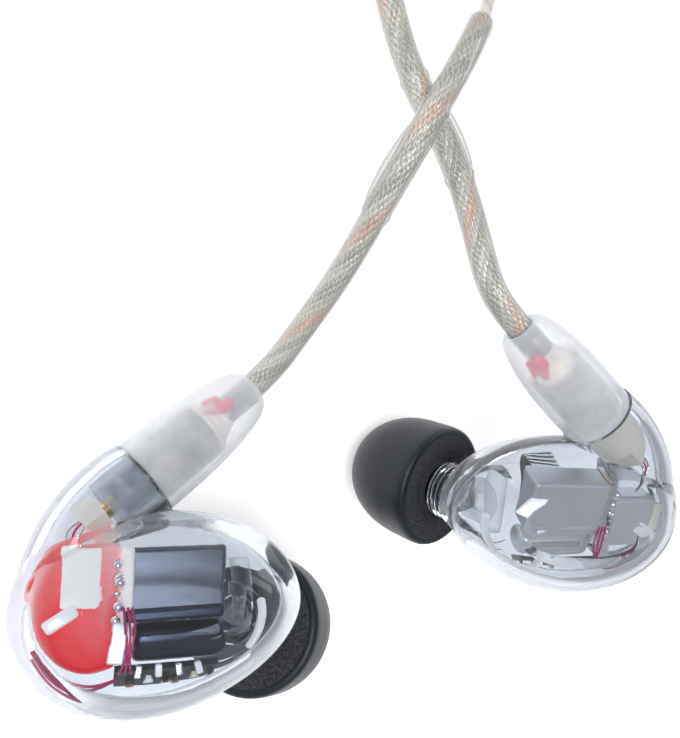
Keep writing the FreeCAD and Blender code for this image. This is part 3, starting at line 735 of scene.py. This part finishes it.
def side_tube(side, line, bulge_way):
    """The short clear tube beside the bundle, between the two rings."""
    first, second = HOOK_STEPS[side]
    centre = stretch_of(line, first - TUBE_SHIFT, second - TUBE_SHIFT, TUBE_SAMPLE)
    points, radii = [], []
    for i, (point, way, _, _) in enumerate(frames_along(centre)):
        share = i / (len(centre) - 1)
        swell = math.sin(math.pi * share) ** 0.5
        across = (bulge_way - way * bulge_way.dot(way)).normalized()
        points.append(point + across * (TUBE_OFFSET + TUBE_BULGE * swell) * MM)
        radii.append(TUBE_END_RADIUS + TUBE_SWELL * swell)
    finish_piece(swept(side + "_memory_tube", points, radii, SLEEVE, 16), "root", "clear_sleeve")


def hook_cable(side):
    line = route_line(branch_cords[side])
    hook_wires(side, line)
    hook_sleeve(side, line)
    side_tube(side, line, -CAMERA_RIGHT if side == "right" else CAMERA_RIGHT)


# ---------------------------------------------------------------- boots and plugs

BOOT_PROFILE = [(2.62, 0.03), (2.62, 0.03), (3.25, 0.02), (3.42, 0.2), (3.45, 0.9), (3.45, 3.0),
                (3.42, 5.0), (3.3, 6.8), (3.08, 8.6), (2.75, 10.3), (2.3, 11.6), (1.75, 12.28),
                (1.4, 12.4), (1.3, 12.4), (1.3, 12.4), (1.3, 9.0), (1.3, 9.0), (2.3, 7.0), (2.62, 6.4)]
CRIMP_PROFILE = [(0, 6.5), (0, 6.5), (2.0, 6.5), (2.0, 6.5), (1.7, 7.4), (0.9, 8.2), (0, 8.2)]
GLAND_PROFILE = [(0, 9.2), (0, 9.2), (1.28, 9.2), (1.28, 9.2), (1.28, 11.9), (1.28, 11.9), (0, 11.9)]
JOINT_PLACES = [(1.3, 0.5, 8.1), (1.5, -0.4, 8.6), (1.15, 0.9, 9.3)]


def boot(side):
    """The milky boot, and what shows through it: the crimp, the insulated joints and the cable's end."""
    at = boot_frame(side)
    shell = lathe(side + "_boot_moulding", BOOT_PROFILE, at, BOOT, closed=True, steps=4)
    finish_piece(shell, "root", "milky_boot", side + "_boot")
    crimp = lathe(side + "_boot_crimp", CRIMP_PROFILE, at, CREAM, steps=2, segments=32)
    finish_piece(crimp, "root", "cream_insulator")
    joints_made = []
    for k, (x, y, z) in enumerate(JOINT_PLACES):
        start, end = at @ Vector((x, y, z - 0.9)), at @ Vector((x * 0.8, y * 0.8, z + 0.5))
        route = rounded([start, start.lerp(end, 0.5), end], 4)
        joints_made.append(swept("joint_%d" % k, route, 0.5, PINK, 10))
    finish_piece(joined(side + "_boot_joints", joints_made), "root", "magenta_lead")
    gland = lathe(side + "_boot_gland", GLAND_PROFILE, at, SLATE, steps=1, segments=32)
    finish_piece(gland, "root", "connector_metal")
    dress(side + "_plug_sleeve", GREY_METAL)
    dress(side + "_plug_pin", GOLD)
    dress(side + "_lock_ring", BRIGHT)


# ---------------------------------------------------------------- earpieces

CRADLE_OUTLINE = [(-3.6, -3.9), (-3.6, -3.9), (-5.2, -4.3), (-6.6, -4.1), (-8.1, -3.2),
                  (-9.3, -1.5), (-9.7, 0.5), (-9.5, 2.3), (-8.5, 3.9), (-7.1, 4.8),
                  (-5.2, 5.1), (-3.6, 5.1), (-3.6, 5.1)]
CRADLE_MIDDLE = Vector((-6.6, 0.4, 0))
CRADLE_LOW, CRADLE_DEPTH, CRADLE_TUCK = -1.6, 4.2, 0.35
# The pale pink that the cradle fades to is a painted highlight; the deep red is the cradle's own colour.
HEEL_RED, HIGHLIGHT_PINK, HIGHLIGHT_SHARE = Vector((0.86, 0.004, 0.014)), Vector((0.98, 0.6, 0.6)), 0.8


def paint_cradle_with_highlight(cradle, to_local):
    """Deep red at the heel and the outer edge, fading towards the drivers to pale pink, which is a painted
    highlight.
    """
    colors = cradle.data.color_attributes.new("Tint", "FLOAT_COLOR", "POINT")
    for vertex, entry in zip(cradle.data.vertices, colors.data):
        place = to_local @ vertex.co
        highlight_amount = max(0.0, min(1.0, (place.x + 8.4) / 4.6)) * max(0.0, min(1.0, (place.y + 1.0) / 4.5))
        entry.color = (*HEEL_RED.lerp(HIGHLIGHT_PINK, HIGHLIGHT_SHARE * highlight_amount), 1)


def cradle(side):
    home = HOME[side]
    name = side + "_cradle"
    made = CRADLE_RED if side == "right" else CRADLE_CLEAR
    outline = rounded([(x, y, 0) for x, y in CRADLE_OUTLINE], 4, closed=True)
    rings = []
    slices = 7
    for k in range(slices):
        depth = CRADLE_LOW + CRADLE_DEPTH * k / (slices - 1)
        tuck = CRADLE_TUCK if k in (0, slices - 1) else 0.0
        for place in outline:
            tucked = place + (CRADLE_MIDDLE - place).normalized() * tuck
            rings.append((tucked.x, tucked.y, depth))
    count = len(outline)
    faces = [tuple(range(count)), tuple(range((slices - 1) * count, slices * count))]
    for k in range(slices - 1):
        for i in range(count):
            j = (i + 1) % count
            faces.append((k * count + i, k * count + j, (k + 1) * count + j, (k + 1) * count + i))
    piece = mesh_object(name, rings, faces, made, home)
    if side == "right":
        paint_cradle_with_highlight(piece, home.inverted())
    softened(piece, 0.25)
    finish_piece(piece, side + "_earpiece", "red_cradle" if side == "right" else "clear_cradle",
                 side + "_driver_cradle")


def cradle_fittings(side):
    """The lid over the low driver, the glossy clip, the tab and the solder joints."""
    home, body = HOME[side], side + "_earpiece"
    if side == "right":
        lid = brick(side + "_driver_lid", (2.7, 4.2, 0.35), (-6.3, 2.5, 2.72), home, PALE, 0.15)
    else:
        lid = joined(side + "_driver_lid", [
            brick("low_can_face", (4.0, 4.9, 0.7), (-5.7, 0.6, 2.7), home, SILVER, 0.3),
            brick("low_can_block", (1.2, 3.2, 0.9), (-8.6, 0.9, 2.3), home, CREAM, 0.2)])
    finish_piece(lid, body, "plate_steel")
    clip = brick(side + "_clip", (2.4, 1.0, 0.8), (-7.5, -0.3, 3.0), home, WHITE, 0.25, spin=33)
    finish_piece(clip, body, "cream_insulator")
    tab = brick(side + "_tab", (1.2, 2.9, 0.5), (-3.5, -2.2, 2.7), home, SILVER, 0.12, spin=-6)
    finish_piece(tab, body, "plate_steel")
    blobs = []
    for k in range(5):
        centre = home @ Vector((-3.75 + 0.18 * (k % 2), 3.4 - 1.0 * k, 2.65 - 0.05 * k))
        ball = bmesh.new()
        bmesh.ops.create_icosphere(ball, subdivisions=3, radius=(0.42 + 0.07 * (k % 2)) * MM)
        mesh = bpy.data.meshes.new("blob")
        ball.to_mesh(mesh)
        ball.free()
        mesh.transform(Matrix.Translation(centre))
        for face in mesh.polygons:
            face.use_smooth = True
        mesh.materials.append(SOLDER)
        blob = bpy.data.objects.new("blob_%d" % k, mesh)
        bpy.context.scene.collection.objects.link(blob)
        blobs.append(blob)
    finish_piece(joined(side + "_solder", blobs), body, "driver_steel")


BOARD_AT, BOARD_TILT = (0.7, -4.9, 0.7), math.radians(52)
CHIP_KINDS = [BROWN, WHITE, BLACK, BROWN, CREAM, BLACK]
CHIP_HEIGHT, CHIP_EDGE = 0.48, 0.05


def board_parts(side):
    """The crossover's small parts, gold-ended or dark, and the taller ones along its edge."""
    home, body = HOME[side], side + "_earpiece"
    board = home @ Matrix.Translation(BOARD_AT) @ Matrix.Rotation(BOARD_TILT, 4, "X")
    chips = []
    for k, made in enumerate(CHIP_KINDS):
        x, y = -3.1 + 1.15 * k + 0.2 * (k % 3), -0.4 + 0.35 * (k * 2 % 3)
        wider = 0.1 * (k % 2)
        chips.append(brick("chip_%d" % k, (0.4, 0.42 + wider, 0.42), (x, y, CHIP_HEIGHT), board, made,
                           CHIP_EDGE))
        for sign in (-1, 1):
            chips.append(brick("end_%d_%d" % (k, sign), (0.16, 0.45 + wider, 0.44),
                               (x + 0.28 * sign, y, CHIP_HEIGHT), board, SOLDER if k % 2 else GOLD,
                               CHIP_EDGE))
    piece = joined(side + "_board_chips", chips)
    finish_piece(piece, body, "component_ceramic", side + "_board_components")
    posts = []
    for k in range(4):
        centre = (-1.9 + 1.5 * k, -4.35, 2.1)
        posts.append(brick("post_%d" % k, (0.5, 0.9, 0.7), centre, home, WHITE if k % 2 else SOLDER, 0.12,
                           spin=8 * (k - 1)))
    finish_piece(joined(side + "_terminals", posts), body, "component_ceramic")


def inner_wires(side):
    """Thin leads: from the solder joints to the board, round the heel, and up into the neck."""
    home = HOME[side]
    leads = []
    for k in range(3):
        route = [(-3.2 + 0.3 * k, 0.3, 3.0), (-3.0 + 0.35 * k, -1.4, 3.25 - 0.1 * k),
                 (-2.9 + 0.15 * k, -3.2, 3.1), (-3.3 + 0.45 * k, -4.4, 2.2)]
        leads.append(wire("lead_%d" % k, [home @ Vector(p) for p in route], 0.1, MAGENTA))
    for k in range(2):
        route = [(-9.0, -2.2 - 0.5 * k, 2.6), (-7.6, -4.1 - 0.4 * k, 2.5), (-5.4, -5.2 - 0.3 * k, 1.9),
                 (-3.4, -5.0, 1.2)]
        leads.append(wire("long_lead_%d" % k, [home @ Vector(p) for p in route], 0.12, MAGENTA))
    for k in range(3):
        route = [(-6.2, 3.4, 1.6), (-7.6 + 0.5 * k, 5.6, 1.2 + 0.4 * k), (-6.6 + 0.4 * k, 6.9, 0.8),
                 (-4.9 + 0.25 * k, 7.1, 0.4)]
        leads.append(wire("neck_lead_%d" % k, [home @ Vector(p) for p in route], 0.1,
                          MAGENTA if k == 1 else BRIGHT))
    finish_piece(joined(side + "_leads", leads), side + "_earpiece", "magenta_lead",
                 side + "_driver_leads")


def cans(side):
    """The mid driver's bright end plate and a block along its lower side, in darker slate on the right as
    painted shade, and the high driver as a rounded can with a lighter strip along it, a painted highlight.
    """
    home, body = HOME[side], side + "_earpiece"
    edge = PALE if side == "right" else BRIGHT
    cap = brick(side + "_can_edge", (0.9, 5.5, 3.1), (-2.95, 2.1, 1.35), home, edge, 0.3, spin=1, tilt=8)
    finish_piece(cap, body, "driver_steel")
    dark, light = (SLATE_DARK, SLATE_HIGHLIGHT) if side == "right" else (SILVER, BRIGHT)
    # On the right this block's darker slate is painted shade on the mid driver's lower side; on the left
    # it is silver.
    lower_side = brick(side + "_can_lower_side", (7.6, 1.0, 2.8), (0.65, -0.15, 1.4), home, dark, 0.3,
                  spin=1, tilt=8)
    finish_piece(lower_side, body, "driver_steel")
    pieces = []
    # The glint is a lighter strip along the can: a painted highlight.
    for name, low, high, at, radius, made in (("can", -2.35, 4.75, (-2.35, 0.9), 1.45, dark),
                                              ("glint", -1.3, 4.3, (-2.1, 2.05), 0.4, light)):
        length = high - low
        steps = [0.0, 0.02, 0.05, 0.1, 0.5, 0.9, 0.95, 0.98, 1.0]
        radii = [radius * share for share in (0.78, 0.9, 0.97, 1, 1, 1, 0.97, 0.9, 0.78)]
        centre = [home @ Vector((low + length * t, *at)) for t in steps]
        pieces.append(swept(name, centre, radii, made, 40))
    finish_piece(joined(side + "_high_can", pieces), body, "driver_dark_steel" if side == "right"
                 else "driver_steel", side + "_high_driver")


GUIDE_SPINE = [(6.4, 4.0, -0.6), (6.6, 2.0, -0.5), (6.6, 0.0, -0.5), (6.5, -2.2, -0.7)]
# The path of the white strip along the moulding, a painted highlight.
GUIDE_HIGHLIGHT = [(7.9, 0.5, 0.9), (8.0, -0.9, 1.1), (7.6, -2.4, 1.1), (6.9, -3.6, 0.9)]


def sound_guide(side):
    """The clear moulding between the drivers and the nozzle, with a white strip along it that is a painted
    highlight.
    """
    home, body = HOME[side], side + "_earpiece"
    spine = rounded([home @ Vector(p) for p in GUIDE_SPINE], 6)
    column = swept(side + "_guide_column", spine, 0.9, CLEAR_PART, 24)
    # The white strip is a painted highlight.
    edge = rounded([home @ Vector(p) for p in GUIDE_HIGHLIGHT], 6)
    bright = swept(side + "_guide_highlight", edge, [0.15] + [0.38] * (len(edge) - 2) + [0.15], WHITE, 16)
    finish_piece(joined(side + "_sound_guide", [column, bright]), body, "clear_tube")


def earpiece(side):
    """Everything on the earpiece's body: the CAD nodes' finishes, then the finer shapes."""
    for half in ("outer_shell", "inner_shell"):
        dress("%s_%s" % (side, half), SHELLS[side])
    for part in ("nozzle", "sound_tube"):
        dress("%s_%s" % (side, part), CLEAR_PART)
    dress(side + "_nozzle_collar", COLLAR)
    dress(side + "_damper", MESH)
    dress(side + "_mid_driver", SLATE if side == "right" else SILVER)
    dress(side + "_low_driver", STEEL)
    dress(side + "_filter_plates", STEEL)
    dress(side + "_crossover_board", BOARD)
    dress(side + "_socket_barrel", SMOKY_SOCKET if side == "right" else CREAM)
    dress(side + "_socket_contact", GOLD)
    dress(side + "_socket_insulator", CREAM)
    cradle(side)
    cradle_fittings(side)
    board_parts(side)
    inner_wires(side)
    cans(side)
    sound_guide(side)


# ---------------------------------------------------------------- coil tie

TIE_ANGLE = math.radians(50)
TIE_WIDTH, TIE_THICKNESS, TIE_CORNER = 3.4, 0.45, 1.3
TIE_CORNER_STEPS = 8
TIE_LOWEST = 0.5
TURNS_NEAR, TURNS_FAR = 7.0, 17.0  # the coil's turns lie between these distances from its centre


def coil_strap():
    """A woven strap that hugs every turn of the coil at one place."""
    outward = Vector((math.cos(TIE_ANGLE), math.sin(TIE_ANGLE), 0))
    across = Vector((-outward.y, outward.x, 0))
    reaches, heights = [], []
    for cord, radius in ((branch_cords["right"], BRANCH_RADIUS), (branch_cords["left"], BRANCH_RADIUS),
                         (lead_cord, LEAD_RADIUS)):
        for point in route_line(cord):
            place = point / MM - COIL_CENTRE
            reach = place.dot(outward)
            if abs(place.dot(across)) < TIE_WIDTH / 2 and TURNS_NEAR < reach < TURNS_FAR:
                reaches += [reach - radius, reach + radius]
                heights += [place.z - radius, place.z + radius]
    near, far, low, high = min(reaches), max(reaches), max(min(heights), TIE_LOWEST), max(heights)
    near, far = near + TIE_CORNER, far - TIE_CORNER
    low, high = low + TIE_CORNER, high - TIE_CORNER
    loop = []
    for centre_x, centre_z, start in ((far, high, 0), (near, high, 90), (near, low, 180), (far, low, 270)):
        for k in range(TIE_CORNER_STEPS + 1):
            angle = math.radians(start + 90 * k / TIE_CORNER_STEPS)
            loop.append((centre_x, centre_z, math.cos(angle), math.sin(angle)))
    vertices = []
    for x, z, c, s in loop:
        for offset, shift in ((0, -1), (0, 1), (1, 1), (1, -1)):
            grown = TIE_CORNER + offset * TIE_THICKNESS
            place = COIL_CENTRE + outward * (x + c * grown) + across * (shift * TIE_WIDTH / 2)
            vertices.append((place + Vector((0, 0, z + s * grown))) * MM)
    faces = []
    count = len(loop)
    for k in range(count):
        here, ahead = 4 * k, 4 * ((k + 1) % count)
        for i in range(4):
            j = (i + 1) % 4
            faces.append((here + i, here + j, ahead + j, ahead + i))
    strap = softened(mesh_object("coil_strap", vertices, faces, STRAP, smooth=False), 0.1)
    finish_piece(strap, "root", "tie_strap", "coil_tie")


for side in SIDES:
    ear_tip(side)
    boot(side)
    earpiece(side)
    branch_cords[side].data.materials.append(BRANCH_JACKET)
lead_cord.data.materials.append(LEAD_JACKET)
dress("y_splitter", SMOKE)
dress("chin_slider", SMOKE)
coil_strap()
dress("plug_handle", SMOKE)
dress("plug_contacts", GOLD)
dress("plug_insulators", BLACK)
for side in SIDES:
    hook_cable(side)


# ---------------------------------------------------------------- floor and lights

# The studio's walls, from the level of the table to straight above.
SKY = [(0.0, (1.6, 1.61, 1.63)), (0.1, (1.1, 1.13, 1.18)), (0.24, (0.66, 0.69, 0.76)),
       (0.42, (0.82, 0.84, 0.88)), (1.0, (0.94, 0.95, 0.97))]
SKY_STRENGTH = 0.5
FLOOR_SIZE, FLOOR_DROP = 3.0, 0.0002


def make_stage():
    """A pale floor under pale studio walls."""
    floor_shade = material("floor", (0.93, 0.93, 0.93), 0.9, Emission_Strength=0.52)
    shader_of(floor_shade).inputs["Emission Color"].default_value = (1, 1, 1, 1)
    bpy.ops.mesh.primitive_plane_add(size=FLOOR_SIZE, location=(0, 0, -FLOOR_DROP))
    floor = bpy.context.object
    floor.name = "floor"
    floor.data.materials.append(floor_shade)
    world = bpy.data.worlds.new("studio")
    bpy.context.scene.world = world
    world.use_nodes = True
    nodes, links = world.node_tree.nodes, world.node_tree.links
    sky = nodes.new("ShaderNodeValToRGB")
    set_stops(sky.color_ramp, SKY)
    way = nodes.new("ShaderNodeTexCoord")
    height = nodes.new("ShaderNodeSeparateXYZ")
    links.new(way.outputs["Generated"], height.inputs["Vector"])
    links.new(height.outputs["Z"], sky.inputs["Fac"])
    links.new(sky.outputs["Color"], nodes["Background"].inputs["Color"])
    nodes["Background"].inputs["Strength"].default_value = SKY_STRENGTH
    bpy.context.scene.view_settings.view_transform = "Standard"


def soft_light(name, location, target, size, power):
    data = bpy.data.lights.new(name, "AREA")
    data.shape = "RECTANGLE"
    data.size, data.size_y = size
    data.energy = power
    lamp = bpy.data.objects.new(name, data)
    way = Vector(target) - Vector(location)
    lamp.matrix_world = Matrix.Translation(location) @ way.to_track_quat("-Z", "Y").to_matrix().to_4x4()
    bpy.context.scene.collection.objects.link(lamp)


make_stage()
soft_light("key", (-0.18, 0.10, 0.30), (0, 0, 0), (0.12, 0.12), 0.6)
soft_light("rim", (0.22, 0.20, 0.16), (0, 0, 0.01), (0.2, 0.06), 0.12)
soft_light("fill", (0.05, -0.28, 0.12), (0, 0, 0.01), (0.25, 0.08), 0.05)
